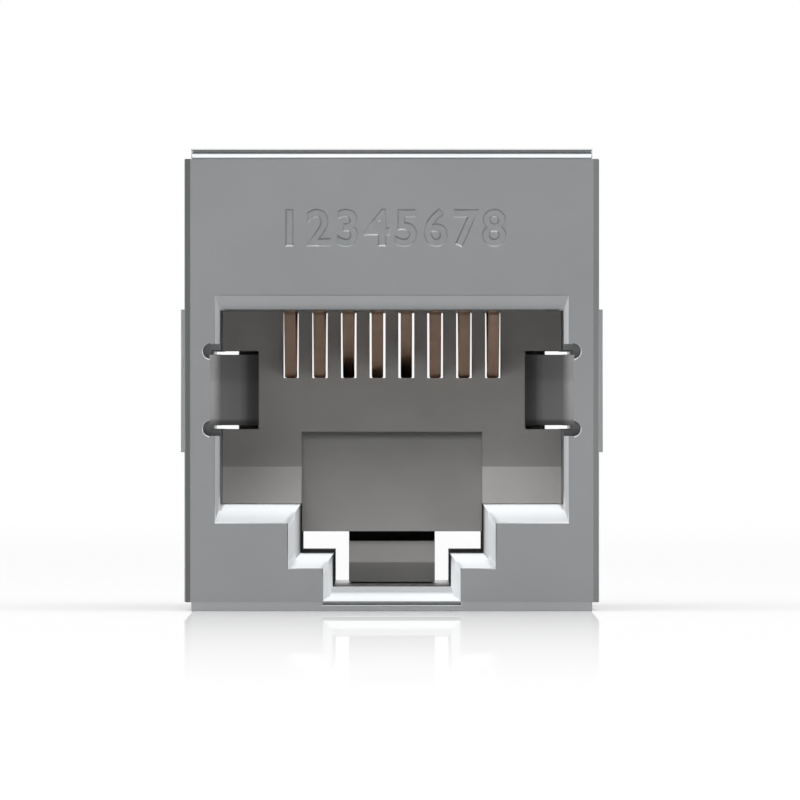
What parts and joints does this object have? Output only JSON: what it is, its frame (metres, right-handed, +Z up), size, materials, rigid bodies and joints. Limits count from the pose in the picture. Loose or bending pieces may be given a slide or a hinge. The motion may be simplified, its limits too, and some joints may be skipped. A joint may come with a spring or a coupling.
{
  "type": "ethernet inline coupler",
  "caption": "Shielded inline network coupler: a die-cast box with the same stepped modular socket at each end, sprung contact wires above and ground springs at its sides.",
  "frame": {"origin": "centre of the underside of the base plate", "axes": "+Z up, -Y out of the front socket, +Y out of the rear socket, +X to the right seen from the front"},
  "size_m": [0.0148, 0.032, 0.016],
  "materials": {
    "shell_metal": "satin nickel plate on die-cast zinc, fine cast grain, not brushed",
    "carrier_plastic": "fine matt moulded grey plastic",
    "contact_plate": "plated phosphor bronze wire, satin",
    "spring_strip": "rolled spring strip, satin",
    "board_laminate": "green solder resist on laminate"
  },
  "bodies": {
    "root": {"housing": "shell_metal", "top_cover": "shell_metal", "base_plate": "shell_metal", "inner_carrier": "carrier_plastic", "circuit_board": "board_laminate", "front_contact_holder": "carrier_plastic", "rear_contact_holder": "carrier_plastic", "front_contact_1": "contact_plate", "front_contact_2": "contact_plate", "front_contact_3": "contact_plate", "front_contact_4": "contact_plate", "front_contact_5": "contact_plate", "front_contact_6": "contact_plate", "front_contact_7": "contact_plate", "front_contact_8": "contact_plate", "rear_contact_1": "contact_plate", "rear_contact_2": "contact_plate", "rear_contact_3": "contact_plate", "rear_contact_4": "contact_plate", "rear_contact_5": "contact_plate", "rear_contact_6": "contact_plate", "rear_contact_7": "contact_plate", "rear_contact_8": "contact_plate", "front_left_ground_spring": "spring_strip", "front_right_ground_spring": "spring_strip", "rear_left_ground_spring": "spring_strip", "rear_right_ground_spring": "spring_strip"}
  },
  "joints": []
}
